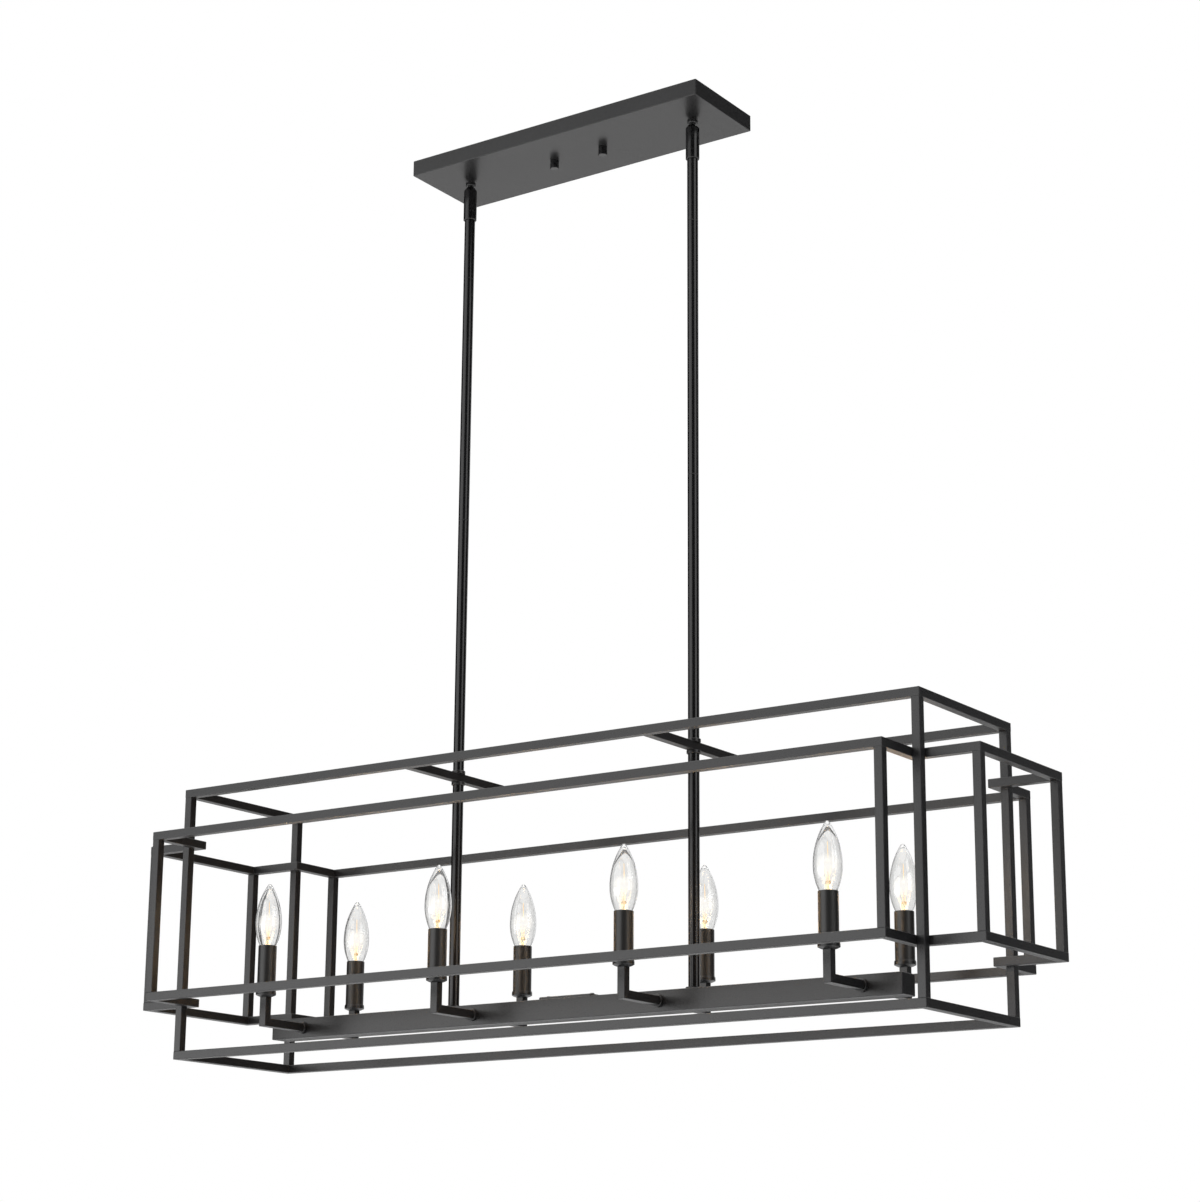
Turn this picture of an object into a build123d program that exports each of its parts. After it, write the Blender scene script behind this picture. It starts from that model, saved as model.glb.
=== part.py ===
from build123d import *
import math
import os

os.makedirs("parts", exist_ok=True)

# Linear island pendant. Millimetres, +Z up. The origin is the centre of the canopy's ceiling face, and the
# fixture hangs down along -Z. X runs along the fixture, and -Y is its front.

# ---------------------------------------------------------------- driving dimensions

# lantern frame, of square tube
BAR = 9.5
BAR_WALL = 1.0
BAR_EDGE = 0.6
BOX_LENGTH = 983.0
BOX_WIDTH = 202.0
BOX_HEIGHT = 317.5
REVEAL = 61.0

# canopy and what it is fastened with
CANOPY_LENGTH = 407.0
CANOPY_WIDTH = 119.0
CANOPY_DEPTH = 19.0
CANOPY_WALL = 1.2
CANOPY_EDGE = 1.0
CANOPY_LOWER_EDGE = 0.6
STRAP_LENGTH = 110.0
STRAP_WIDTH = 18.0
STRAP_THICKNESS = 2.0
STRAP_CORNER = 2.2
BOX_SCREW_SPACING = 88.9
BOX_SCREW_SLOT_WIDTH = 4.6
BOX_SCREW_SLOT_LENGTH = 8.0
STUD_SPACING = 70.0
STUD = 4.1
STUD_NUT_ACROSS = 7.9
STUD_NUT_THICKNESS = 3.0
STUD_SPARE = 0.5
CAP_NUT = 10.4
CAP_NUT_LENGTH = 10.5
CAP_NUT_CROWN = 1.5
CAP_NUT_CHAMFER = 0.4
GROUND_SCREW = 4.8
GROUND_SCREW_PLACE = 16.0
GROUND_HEAD_ACROSS = 8.7
GROUND_HEAD_THICKNESS = 3.0
GROUND_WASHER = 11.0
GROUND_WASHER_THICKNESS = 0.8

# hanging rods and the threads inside them
STEM_SPACING = 322.0
ROD = 12.5
ROD_WALL = 1.2
ROD_CHAMFER = 0.3
SHORT_ROD = 76.2
LONG_ROD = 304.8
NIPPLE_LENGTH = 20.0
NIPPLE_BORE = 7.0
WIRE_BORE = 4.5
PLUG_LENGTH = 12.0

# hang-straight swivels
SWIVEL_OD = 15.8
SWIVEL_GAP = 4.6
SWIVEL_BODY_HEIGHT = 32.6
SWIVEL_LIP_HEIGHT = 6.2
SWIVEL_SHOULDER_DROP = 4.4
SWIVEL_LIP_WALL = 0.3
SWIVEL_SLOT = 7.0
COUPLING_HEIGHT = 10.4
COUPLING_CHAMFER = 0.8
SPIGOT_HEIGHT = 8.0
BALL = 13.0
BALL_GAP = 0.3
NECK = 6.4
NECK_BORE = 4.4
NECK_SWING = 1.4
STEM_FLANGE = 12.0
STEM_FLANGE_THICKNESS = 2.9
STEM_FLANGE_CHAMFER = 1.0
STEM_THREAD_SPARE = 2.6
NUT_ACROSS = 14.0
NUT_THICKNESS = 5.0
WASHER = 18.0
WASHER_THICKNESS = 1.2

# crossbar joints
COLLAR = 15.7
COLLAR_HEIGHT = 3.5
COLLAR_CHAMFER = 0.4
TAIL_REACH = 8.0

# wiring channel
CHANNEL_LENGTH = 833.0
CHANNEL_OVERHANG = 44.5
CHANNEL_WIDTH = 27.0
CHANNEL_HEIGHT = 23.0
CHANNEL_WALL = 1.2
CHANNEL_EDGE = 0.8
CHANNEL_ABOVE_BASE = 26.5
END_CAP_THICKNESS = 2.0
END_CAP_EDGE = 1.2
END_CAP_PLUG = 5.0
TUBE_WASHER = 18.0
TUBE_WASHER_THICKNESS = 2.0
COVER_LENGTH = 70.4
COVER_WIDTH = 22.0
COVER_HEIGHT = 2.8
COVER_WALL = 1.2
COVER_CORNER = 2.2
COVER_EDGE = 0.8
SPLICE_HOLE_LENGTH = 46.0
SPLICE_HOLE_WIDTH = 13.0
SPLICE_HOLE_CORNER = 2.6
COVER_SCREW_SPACING = 58.0
COVER_SCREW = 3.0
COVER_SCREW_HEAD = 5.4
COVER_SCREW_HEAD_HEIGHT = 1.7
COVER_SCREW_CROWN = 0.8
COVER_SCREW_LENGTH = 7.0

# arms
LAMP_COLUMNS = 4
LAMP_OUT = 79.3
ARM_TOP = 67.1
ARM_COLLAR = 13.6
ARM_COLLAR_LENGTH = 4.0
ARM_COLLAR_CHAMFER = 0.5
ARM_PLUG = 8.0
ARM_THREAD = 8.0
ARM_THREAD_LENGTH = 8.0
ARM_NUT_ACROSS = 12.0
ARM_NUT_THICKNESS = 3.0

# candle lamps
CUP_FOOT = 13.0
CUP_LIP = 23.2
CUP_FLARE = 2.2
CUP_FLARE_RADIUS = 16.3
CUP_RIM = 2.4
CUP_CROWN = 2.0
CUP_FLOOR = 0.8
CUP_TOP_WALL = 0.6
SLEEVE = 21.1
SLEEVE_WALL = 0.85
SLEEVE_LENGTH = 55.5
SLEEVE_EDGE = 0.3
SOCKET_FLANGE = 14.0
SOCKET_FLANGE_THICKNESS = 1.5
SOCKET_STEM_THREAD = 8.0
SOCKET = 15.5
SOCKET_LENGTH = 42.0
SOCKET_BELOW_SLEEVE = 7.4
SOCKET_DEPTH = 18.8
SOCKET_THREAD_DEPTH = 8.0
SOCKET_THREAD_SPARE = 0.5
BULB_LENGTH = 98.0
BULB = 30.2
BULB_WIDEST = 45.8
BULB_TIP = 2.6
BULB_NECK = 11.0
BULB_GLASS_WALL = 0.6
BULB_SEAL = 3.2
BULB_BASE = 11.9
BULB_BASE_LENGTH = 19.6
BULB_CONTACT = 4.0
BULB_CONTACT_HEIGHT = 1.0
BULB_INSULATOR_HEIGHT = 2.0
BULB_SEAT_DEPTH = 4.0
BULB_STEM = 5.0
BULB_STEM_LENGTH = 21.0
BULB_STEM_SKIRT = 1.0
FILAMENT_WIRE = 0.5
LEAD_SPACING = 3.0
FILAMENT_LEAD = 3.0
FILAMENT_KNEE = 13.6
FILAMENT_WIDTH = 7.0
FILAMENT_HEIGHT = 34.0

# clearances
THREAD_FIT = 0.05
SLIP_FIT = 0.05
HOLE_FIT = 0.15
SHEET_FIT = 0.1
TAIL_FIT = 0.5
CEILING_FIT = 0.3

# ---------------------------------------------------------------- places worked out from them

BORE = ROD - 2 * ROD_WALL
THREAD = BORE - 2 * THREAD_FIT
STEM_X = STEM_SPACING / 2
SIDES = (("left", -STEM_X, -1), ("right", STEM_X, 1))

z_canopy = -CANOPY_DEPTH
z_swivel = z_canopy - SWIVEL_GAP
z_ball = z_swivel - SWIVEL_LIP_HEIGHT
z_seam = z_swivel - SWIVEL_BODY_HEIGHT
z_coupling = z_seam - COUPLING_HEIGHT
z_short = z_coupling - SHORT_ROD
z_upper = z_short - LONG_ROD
z_top = z_upper - LONG_ROD
z_base = z_top - BOX_HEIGHT
z_crossbar = z_top - BAR

channel_bottom = z_base + CHANNEL_ABOVE_BASE
channel_middle = channel_bottom + CHANNEL_HEIGHT / 2
channel_top = channel_bottom + CHANNEL_HEIGHT
tube_foot = channel_top + TUBE_WASHER_THICKNESS
channel_ceiling = channel_top - CHANNEL_WALL

box_x = (BOX_LENGTH - BAR) / 2
box_y = (BOX_WIDTH - BAR) / 2
loop_x = box_x - BAR
loop_y = box_y - BAR
reach_x = box_x + REVEAL
reach_y = box_y + REVEAL
z_upper_loop = z_top - REVEAL
z_lower_loop = z_base + REVEAL

BAR_INSIDE = BAR - 2 * BAR_WALL
bar_plug = BAR_INSIDE - 2 * SHEET_FIT
tail = BAR_INSIDE - 2 * TAIL_FIT

lamp_span = CHANNEL_LENGTH - 2 * CHANNEL_OVERHANG
lamp_pitch = lamp_span / (LAMP_COLUMNS - 1)
LAMP_X = [lamp_pitch * column - lamp_span / 2 for column in range(LAMP_COLUMNS)]
LAMP_POINTS = [(x, y) for y in (-LAMP_OUT, LAMP_OUT) for x in LAMP_X]
arm_top = z_base + ARM_TOP
cup_rim_bottom = arm_top + CUP_FLARE
cup_floor = cup_rim_bottom + CUP_FLOOR
sleeve_top = cup_floor + SLEEVE_LENGTH
socket_top = sleeve_top - SOCKET_BELOW_SLEEVE
socket_bottom = socket_top - SOCKET_LENGTH
bulb_contact = socket_top - SOCKET_DEPTH
bulb_tip = bulb_contact + BULB_LENGTH
bulb_base_top = bulb_contact + BULB_BASE_LENGTH
bulb_seat = bulb_base_top - BULB_SEAT_DEPTH


# ---------------------------------------------------------------- shapes used more than once

def save(name, piece):
    """Label a finished piece and write it under the same name."""
    piece.label = name
    export_step(piece, f"parts/{name}.step")


def repeated(piece, points):
    """The same piece at each point, as separate solids."""
    with BuildPart() as group:
        with Locations(*points):
            add(piece)
    return group.part


def square_tube(start, end, start_cut=None, end_cut=None):
    """Square tube round a straight centreline. A cut is the normal of the mitre plane at that end."""
    start = Vector(*start)
    end = Vector(*end)
    run = (end - start).normalized()
    first = start - run * BAR if start_cut else start
    last = end + run * BAR if end_cut else end
    across = (1, 0, 0) if abs(run.Z) > 0.5 else (0, 0, 1)
    edge = min(BAR_EDGE, 0.45 * BAR)
    with BuildPart() as tube:
        with BuildSketch(Plane(origin=first, x_dir=across, z_dir=run)):
            RectangleRounded(BAR, BAR, edge)
            Rectangle(BAR_INSIDE, BAR_INSIDE, mode=Mode.SUBTRACT)
        extrude(amount=(last - first).length)
        if start_cut:
            split(bisect_by=Plane(origin=start, z_dir=start_cut), keep=Keep.TOP)
        if end_cut:
            split(bisect_by=Plane(origin=end, z_dir=end_cut), keep=Keep.BOTTOM)
    return tube.part


def mitred_loop(name, corners, height):
    """Closed flat loop of square tubes, mitred where they meet, each a separate solid."""
    points = [Vector(x, y, height) for x, y in corners]
    count = len(points)
    runs = [(points[(i + 1) % count] - points[i]).normalized() for i in range(count)]
    tubes = []
    for i in range(count):
        start_cut = (runs[i - 1] + runs[i]).normalized()
        end_cut = (runs[i] + runs[(i + 1) % count]).normalized()
        tubes.append(square_tube(points[i], points[(i + 1) % count], start_cut, end_cut))
    save(name, Compound(tubes))


def turned(plane, steps, bore):
    """Turned piece of stacked steps, each (diameter, length), along the plane's normal, with a bore."""
    with BuildPart() as piece:
        height = 0.0
        for diameter, length in steps:
            with BuildSketch(plane.offset(height)):
                Circle(diameter / 2)
            extrude(amount=length)
            height += length
        if bore:
            with BuildSketch(plane):
                Circle(bore / 2)
            extrude(amount=height, mode=Mode.SUBTRACT)
    return piece.part


def hex_nut(plane, across, thickness, thread):
    """Plain hexagon nut on the plane, with its bore."""
    with BuildPart() as nut:
        with BuildSketch(plane):
            RegularPolygon(across / 2, 6, major_radius=False)
            Circle(thread / 2 + THREAD_FIT, mode=Mode.SUBTRACT)
        extrude(amount=thickness)
    return nut.part


# ---------------------------------------------------------------- canopy

with BuildPart() as canopy_pan:
    with BuildSketch(Plane.XY.offset(z_canopy)):
        RectangleRounded(CANOPY_LENGTH, CANOPY_WIDTH, CANOPY_EDGE)
    extrude(amount=CANOPY_DEPTH)
    fillet(canopy_pan.faces().sort_by(Axis.Z)[0].edges(), CANOPY_LOWER_EDGE)
    with BuildSketch(Plane.XY.offset(z_canopy + CANOPY_WALL)):
        Rectangle(CANOPY_LENGTH - 2 * CANOPY_WALL, CANOPY_WIDTH - 2 * CANOPY_WALL)
    extrude(amount=CANOPY_DEPTH, mode=Mode.SUBTRACT)
    with BuildSketch(Plane.XY.offset(z_canopy)):
        with GridLocations(STEM_SPACING, 0, 2, 1):
            Circle(THREAD / 2 + HOLE_FIT)
        with GridLocations(STUD_SPACING, 0, 2, 1):
            Circle(STUD / 2 + HOLE_FIT)
    extrude(amount=CANOPY_WALL, mode=Mode.SUBTRACT)
save("canopy_pan", canopy_pan.part)

with BuildPart() as mounting_strap:
    with BuildSketch(Plane.XY.offset(-STRAP_THICKNESS)):
        RectangleRounded(STRAP_LENGTH, STRAP_WIDTH, STRAP_CORNER)
        with GridLocations(BOX_SCREW_SPACING, 0, 2, 1):
            SlotOverall(BOX_SCREW_SLOT_LENGTH, BOX_SCREW_SLOT_WIDTH, mode=Mode.SUBTRACT)
        with GridLocations(STUD_SPACING, 0, 2, 1):
            Circle(STUD / 2 + THREAD_FIT, mode=Mode.SUBTRACT)
        with Locations((GROUND_SCREW_PLACE, 0)):
            Circle(GROUND_SCREW / 2 + THREAD_FIT, mode=Mode.SUBTRACT)
    extrude(amount=STRAP_THICKNESS)
save("mounting_strap", mounting_strap.part)

stud_bottom = z_canopy - CAP_NUT_LENGTH + CAP_NUT_CROWN + STUD_SPARE
with BuildPart() as canopy_studs:
    with BuildSketch(Plane.XY.offset(stud_bottom)):
        with GridLocations(STUD_SPACING, 0, 2, 1):
            Circle(STUD / 2)
    extrude(amount=-CEILING_FIT - stud_bottom)
save("canopy_studs", canopy_studs.part)

stud_nut = hex_nut(
    Plane.XY.offset(-STRAP_THICKNESS - STUD_NUT_THICKNESS), STUD_NUT_ACROSS, STUD_NUT_THICKNESS, STUD
)
stud_points = [(-STUD_SPACING / 2, 0), (STUD_SPACING / 2, 0)]
save("stud_lock_nuts", repeated(stud_nut, stud_points))

with BuildPart() as cap_nut:
    with BuildSketch(Plane.XY.offset(z_canopy - CAP_NUT_LENGTH)):
        Circle(CAP_NUT / 2)
    extrude(amount=CAP_NUT_LENGTH)
    chamfer(cap_nut.faces().sort_by(Axis.Z)[0].edges(), CAP_NUT_CHAMFER)
    with BuildSketch(Plane.XY.offset(z_canopy - CAP_NUT_LENGTH + CAP_NUT_CROWN)):
        Circle(STUD / 2 + THREAD_FIT)
    extrude(amount=CAP_NUT_LENGTH - CAP_NUT_CROWN, mode=Mode.SUBTRACT)
save("canopy_cap_nuts", repeated(cap_nut.part, stud_points))

with BuildPart() as ground_screw:
    with BuildSketch(Plane.XY.offset(-STRAP_THICKNESS)):
        with Locations((GROUND_SCREW_PLACE, 0)):
            Circle(GROUND_SCREW / 2)
    extrude(amount=STRAP_THICKNESS - CEILING_FIT)
    with BuildSketch(Plane.XY.offset(-STRAP_THICKNESS - GROUND_WASHER_THICKNESS)):
        with Locations((GROUND_SCREW_PLACE, 0)):
            Circle(GROUND_WASHER / 2)
    extrude(amount=GROUND_WASHER_THICKNESS)
    with BuildSketch(Plane.XY.offset(-STRAP_THICKNESS - GROUND_HEAD_THICKNESS)):
        with Locations((GROUND_SCREW_PLACE, 0)):
            RegularPolygon(GROUND_HEAD_ACROSS / 2, 6, major_radius=False)
    extrude(amount=GROUND_HEAD_THICKNESS - GROUND_WASHER_THICKNESS)
save("ground_screw", ground_screw.part)

# ---------------------------------------------------------------- hang-straight swivels

washer_bottom = z_canopy + CANOPY_WALL
nut_bottom = washer_bottom + WASHER_THICKNESS
stem_top = nut_bottom + NUT_THICKNESS + STEM_THREAD_SPARE
stem_points = [(-STEM_X, 0), (STEM_X, 0)]

# ball, neck, flange and thread in one turned profile
ball_r = BALL / 2
flange_bottom = z_canopy - STEM_FLANGE_THICKNESS
neck_foot = z_ball + math.sqrt(ball_r**2 - (NECK / 2) ** 2)
bore_foot = z_ball - math.sqrt(ball_r**2 - (NECK_BORE / 2) ** 2)
with BuildPart() as swivel_stem:
    with BuildSketch(Plane.XZ):
        with BuildLine():
            Polyline(
                (NECK_BORE / 2, bore_foot),
                (NECK_BORE / 2, stem_top),
                (THREAD / 2, stem_top),
                (THREAD / 2, z_canopy),
                (STEM_FLANGE / 2, z_canopy),
                (STEM_FLANGE / 2, flange_bottom + STEM_FLANGE_CHAMFER),
                (STEM_FLANGE / 2 - STEM_FLANGE_CHAMFER, flange_bottom),
                (NECK / 2, flange_bottom),
                (NECK / 2, neck_foot),
            )
            ThreePointArc((NECK / 2, neck_foot), (ball_r, z_ball), (NECK_BORE / 2, bore_foot))
        make_face()
    revolve(axis=Axis.Z)
for side, x, out in SIDES:
    save(f"swivel_stem_{side}", repeated(swivel_stem.part, [(x, 0)]))

stem_washer = turned(Plane.XY.offset(washer_bottom), [(WASHER, WASHER_THICKNESS)], THREAD + 2 * HOLE_FIT)
save("stem_lock_washers", repeated(stem_washer, stem_points))
stem_nut = hex_nut(Plane.XY.offset(nut_bottom), NUT_ACROSS, NUT_THICKNESS, THREAD)
save("stem_lock_nuts", repeated(stem_nut, stem_points))

# sleeve: coned shoulder outside, round seat for the ball inside, and a slot that frees the neck on one side
cavity_r = ball_r + BALL_GAP
lip_r = NECK / 2 + NECK_SWING
seat_top = z_ball + math.sqrt(cavity_r**2 - lip_r**2)
seat_middle = cavity_r * math.sqrt(0.5)
z_shoulder = z_swivel - SWIVEL_SHOULDER_DROP
for side, x, out in SIDES:
    with BuildPart() as swivel_body:
        with BuildSketch(Plane.XZ):
            with BuildLine():
                Polyline(
                    (cavity_r, z_ball),
                    (cavity_r, z_seam),
                    (SWIVEL_OD / 2, z_seam),
                    (SWIVEL_OD / 2, z_shoulder),
                    (lip_r + SWIVEL_LIP_WALL, z_swivel),
                    (lip_r, z_swivel),
                    (lip_r, seat_top),
                )
                ThreePointArc((lip_r, seat_top), (seat_middle, z_ball + seat_middle), (cavity_r, z_ball))
            make_face()
        revolve(axis=Axis.Z)
        with BuildSketch(Plane.YZ):
            with Locations((0, z_ball)):
                Circle(SWIVEL_SLOT / 2)
                Rectangle(SWIVEL_SLOT, SWIVEL_OD, align=(Align.CENTER, Align.MIN))
        extrude(amount=out * SWIVEL_OD, mode=Mode.SUBTRACT)
    save(f"swivel_body_{side}", repeated(swivel_body.part, [(x, 0)]))

with BuildPart() as swivel_coupling:
    with BuildSketch(Plane.XY.offset(z_coupling)):
        Circle(SWIVEL_OD / 2)
    extrude(amount=COUPLING_HEIGHT)
    chamfer(swivel_coupling.faces().sort_by(Axis.Z)[0].edges(), COUPLING_CHAMFER)
    with BuildSketch(Plane.XY.offset(z_seam)):
        Circle(cavity_r - THREAD_FIT)
    extrude(amount=SPIGOT_HEIGHT)
    with BuildSketch(Plane.XY.offset(z_coupling)):
        Circle(BORE / 2)
    extrude(amount=COUPLING_HEIGHT + SPIGOT_HEIGHT, mode=Mode.SUBTRACT)
save("swivel_couplings", repeated(swivel_coupling.part, stem_points))

# ---------------------------------------------------------------- hanging rods and crossbar joints


def rod(top, bottom):
    """Length of hanging rod, its ends slightly chamfered."""
    with BuildPart() as piece:
        with BuildSketch(Plane.XY.offset(bottom)):
            Circle(ROD / 2)
        extrude(amount=top - bottom)
        chamfer(piece.edges().filter_by(GeomType.CIRCLE), ROD_CHAMFER)
        with BuildSketch(Plane.XY.offset(bottom)):
            Circle(BORE / 2)
        extrude(amount=top - bottom, mode=Mode.SUBTRACT)
    return piece.part


for side, x, out in SIDES:
    save(f"short_rod_{side}", repeated(rod(z_coupling, z_short), [(x, 0)]))
    save(f"upper_rod_{side}", repeated(rod(z_short, z_upper), [(x, 0)]))
    save(f"lower_rod_{side}", repeated(rod(z_upper, z_top), [(x, 0)]))
    save(f"drop_tube_{side}", repeated(rod(z_crossbar, tube_foot), [(x, 0)]))

nipple = turned(Plane.XY.offset(-NIPPLE_LENGTH / 2), [(THREAD, NIPPLE_LENGTH)], NIPPLE_BORE)
nipple_points = [(x, y, z) for x, y in stem_points for z in (z_coupling, z_short, z_upper)]
save("rod_nipples", repeated(nipple, nipple_points))

# the rod's foot narrows to a tail that passes through the crossbar and into the head of the drop tube
tail_length = BAR + TAIL_REACH
foot = turned(Plane.XY.offset(z_top - tail_length), [(tail, tail_length), (THREAD, PLUG_LENGTH)], WIRE_BORE)
save("rod_feet", repeated(foot, stem_points))
head = turned(Plane.XY.offset(z_crossbar - PLUG_LENGTH), [(THREAD, PLUG_LENGTH)], tail + 2 * THREAD_FIT)
save("drop_tube_heads", repeated(head, stem_points))

with BuildPart() as collar:
    with BuildSketch():
        Circle(COLLAR / 2)
    extrude(amount=COLLAR_HEIGHT)
    chamfer(collar.faces().sort_by(Axis.Z)[-1].edges(), COLLAR_CHAMFER)
    with BuildSketch():
        Circle(ROD / 2 + SLIP_FIT)
    extrude(amount=COLLAR_HEIGHT, mode=Mode.SUBTRACT)
with BuildPart() as crossbar_collars:
    for x, y in stem_points:
        with Locations((x, y, z_top), Location((x, y, z_crossbar), (180, 0, 0))):
            add(collar.part)
save("crossbar_collars", crossbar_collars.part)

for side, x, out in SIDES:
    with BuildPart() as crossbar:
        add(square_tube((x, box_y - BAR / 2, z_top - BAR / 2), (x, BAR / 2 - box_y, z_top - BAR / 2)))
        with BuildSketch(Plane.XY.offset(z_crossbar)):
            with Locations((x, 0)):
                Circle(tail / 2 + THREAD_FIT)
        extrude(amount=BAR, mode=Mode.SUBTRACT)
    save(f"crossbar_{side}", crossbar.part)

# ---------------------------------------------------------------- lantern frame

box_corners = [(-box_x, -box_y), (box_x, -box_y), (box_x, box_y), (-box_x, box_y)]
mitred_loop("box_top_frame", box_corners, z_top - BAR / 2)
mitred_loop("box_bottom_frame", box_corners, z_base + BAR / 2)

# the loops hug the box posts from inside and stand out past them on all four sides
loop_corners = [
    (-loop_x, -reach_y),
    (loop_x, -reach_y),
    (loop_x, -loop_y),
    (reach_x, -loop_y),
    (reach_x, loop_y),
    (loop_x, loop_y),
    (loop_x, reach_y),
    (-loop_x, reach_y),
    (-loop_x, loop_y),
    (-reach_x, loop_y),
    (-reach_x, -loop_y),
    (-loop_x, -loop_y),
]
mitred_loop("upper_loop", loop_corners, z_upper_loop - BAR / 2)
mitred_loop("lower_loop", loop_corners, z_lower_loop + BAR / 2)


def posts(name, x, y, bottom, top):
    """Four upright square tubes at the corners of a rectangle, each a separate solid."""
    tubes = [square_tube((px, py, bottom), (px, py, top)) for px in (-x, x) for py in (-y, y)]
    save(name, Compound(tubes))


posts("box_posts", box_x, box_y, z_base + BAR, z_top - BAR)
posts("side_posts", loop_x, reach_y, z_lower_loop + BAR, z_upper_loop - BAR)
posts("end_posts", reach_x, loop_y, z_lower_loop + BAR, z_upper_loop - BAR)

# ---------------------------------------------------------------- wiring channel

with BuildPart() as wiring_channel:
    with BuildSketch(Plane.YZ.offset(-CHANNEL_LENGTH / 2)):
        with Locations((0, channel_middle)):
            RectangleRounded(CHANNEL_WIDTH, CHANNEL_HEIGHT, CHANNEL_EDGE)
            Rectangle(CHANNEL_WIDTH - 2 * CHANNEL_WALL, CHANNEL_HEIGHT - 2 * CHANNEL_WALL, mode=Mode.SUBTRACT)
    extrude(amount=CHANNEL_LENGTH)
    with BuildSketch(Plane.XY.offset(channel_ceiling)):
        with GridLocations(STEM_SPACING, 0, 2, 1):
            Circle(THREAD / 2 + HOLE_FIT)
        with GridLocations(COVER_SCREW_SPACING, 0, 2, 1):
            Circle(COVER_SCREW / 2 + THREAD_FIT)
        RectangleRounded(SPLICE_HOLE_LENGTH, SPLICE_HOLE_WIDTH, SPLICE_HOLE_CORNER)
    extrude(amount=CHANNEL_WALL, mode=Mode.SUBTRACT)
    with BuildSketch(Plane.XZ.offset(-CHANNEL_WIDTH / 2)):
        with Locations((0, channel_middle)):
            with GridLocations(lamp_pitch, 0, LAMP_COLUMNS, 1):
                Circle(ARM_THREAD / 2 + HOLE_FIT)
    extrude(amount=CHANNEL_WIDTH, mode=Mode.SUBTRACT)
save("wiring_channel", wiring_channel.part)

plug_width = CHANNEL_WIDTH - 2 * CHANNEL_WALL - 2 * SHEET_FIT
plug_height = CHANNEL_HEIGHT - 2 * CHANNEL_WALL - 2 * SHEET_FIT
end_caps = []
for out in (-1, 1):
    cap_plane = Plane(origin=(out * CHANNEL_LENGTH / 2, 0, channel_middle), x_dir=(0, 1, 0), z_dir=(out, 0, 0))
    with BuildPart() as end_cap:
        with BuildSketch(cap_plane):
            RectangleRounded(CHANNEL_WIDTH, CHANNEL_HEIGHT, CHANNEL_EDGE)
        extrude(amount=END_CAP_THICKNESS)
        cap_edge = min(END_CAP_EDGE, 0.6 * END_CAP_THICKNESS)
        fillet(end_cap.faces().sort_by(Axis.X)[-1 if out > 0 else 0].edges(), cap_edge)
        with BuildSketch(cap_plane):
            Rectangle(plug_width, plug_height)
            Rectangle(plug_width - 2 * CHANNEL_WALL, plug_height - 2 * CHANNEL_WALL, mode=Mode.SUBTRACT)
        extrude(amount=-END_CAP_PLUG)
    end_caps.append(end_cap.part.solid())
save("channel_end_caps", Compound(end_caps))

with BuildPart() as splice_cover:
    with BuildSketch(Plane.XY.offset(channel_top)):
        RectangleRounded(COVER_LENGTH, COVER_WIDTH, COVER_CORNER)
    extrude(amount=COVER_HEIGHT)
    chamfer(splice_cover.faces().sort_by(Axis.Z)[-1].edges(), COVER_EDGE)
    with BuildSketch(Plane.XY.offset(channel_top)):
        Rectangle(COVER_LENGTH - 2 * COVER_WALL, COVER_WIDTH - 2 * COVER_WALL)
    extrude(amount=COVER_HEIGHT - COVER_WALL, mode=Mode.SUBTRACT)
    with BuildSketch(Plane.XY.offset(channel_top)):
        with GridLocations(COVER_SCREW_SPACING, 0, 2, 1):
            Circle(COVER_SCREW / 2 + HOLE_FIT)
    extrude(amount=COVER_HEIGHT, mode=Mode.SUBTRACT)
save("splice_cover", splice_cover.part)

cover_top = channel_top + COVER_HEIGHT
with BuildPart() as cover_screw:
    with BuildSketch(Plane.XY.offset(cover_top)):
        Circle(COVER_SCREW_HEAD / 2)
    extrude(amount=COVER_SCREW_HEAD_HEIGHT)
    chamfer(cover_screw.faces().sort_by(Axis.Z)[-1].edges(), COVER_SCREW_CROWN)
    with BuildSketch(Plane.XY.offset(cover_top)):
        Circle(COVER_SCREW / 2)
    extrude(amount=-COVER_SCREW_LENGTH)
cover_screw_points = [(-COVER_SCREW_SPACING / 2, 0), (COVER_SCREW_SPACING / 2, 0)]
save("splice_cover_screws", repeated(cover_screw.part, cover_screw_points))

tube_washer = turned(
    Plane.XY.offset(channel_top), [(TUBE_WASHER, TUBE_WASHER_THICKNESS)], THREAD + 2 * HOLE_FIT
)
save("drop_tube_washers", repeated(tube_washer, stem_points))
channel_nut = hex_nut(Plane.XY.offset(channel_ceiling - NUT_THICKNESS), NUT_ACROSS, NUT_THICKNESS, THREAD)
save("channel_lock_nuts", repeated(channel_nut, stem_points))
nipple_foot = channel_ceiling - NUT_THICKNESS - STEM_THREAD_SPARE
nipple_reach = tube_foot + PLUG_LENGTH - nipple_foot
channel_nipple = turned(Plane.XY.offset(nipple_foot), [(THREAD, nipple_reach)], NIPPLE_BORE)
save("channel_nipples", repeated(channel_nipple, stem_points))

# ---------------------------------------------------------------- arms

arm_foot = CHANNEL_WIDTH / 2 + ARM_COLLAR_LENGTH
for row, out in (("front", -1), ("back", 1)):
    for number, x in enumerate(LAMP_X, start=1):
        elbow = (x, out * LAMP_OUT, channel_middle)
        mitre = Vector(0, out, 1).normalized()
        level = square_tube((x, out * arm_foot, channel_middle), elbow, end_cut=mitre)
        upright = square_tube(elbow, (x, out * LAMP_OUT, arm_top), start_cut=mitre)
        save(f"arm_{row}_{number}", Compound([level, upright]))

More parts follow.
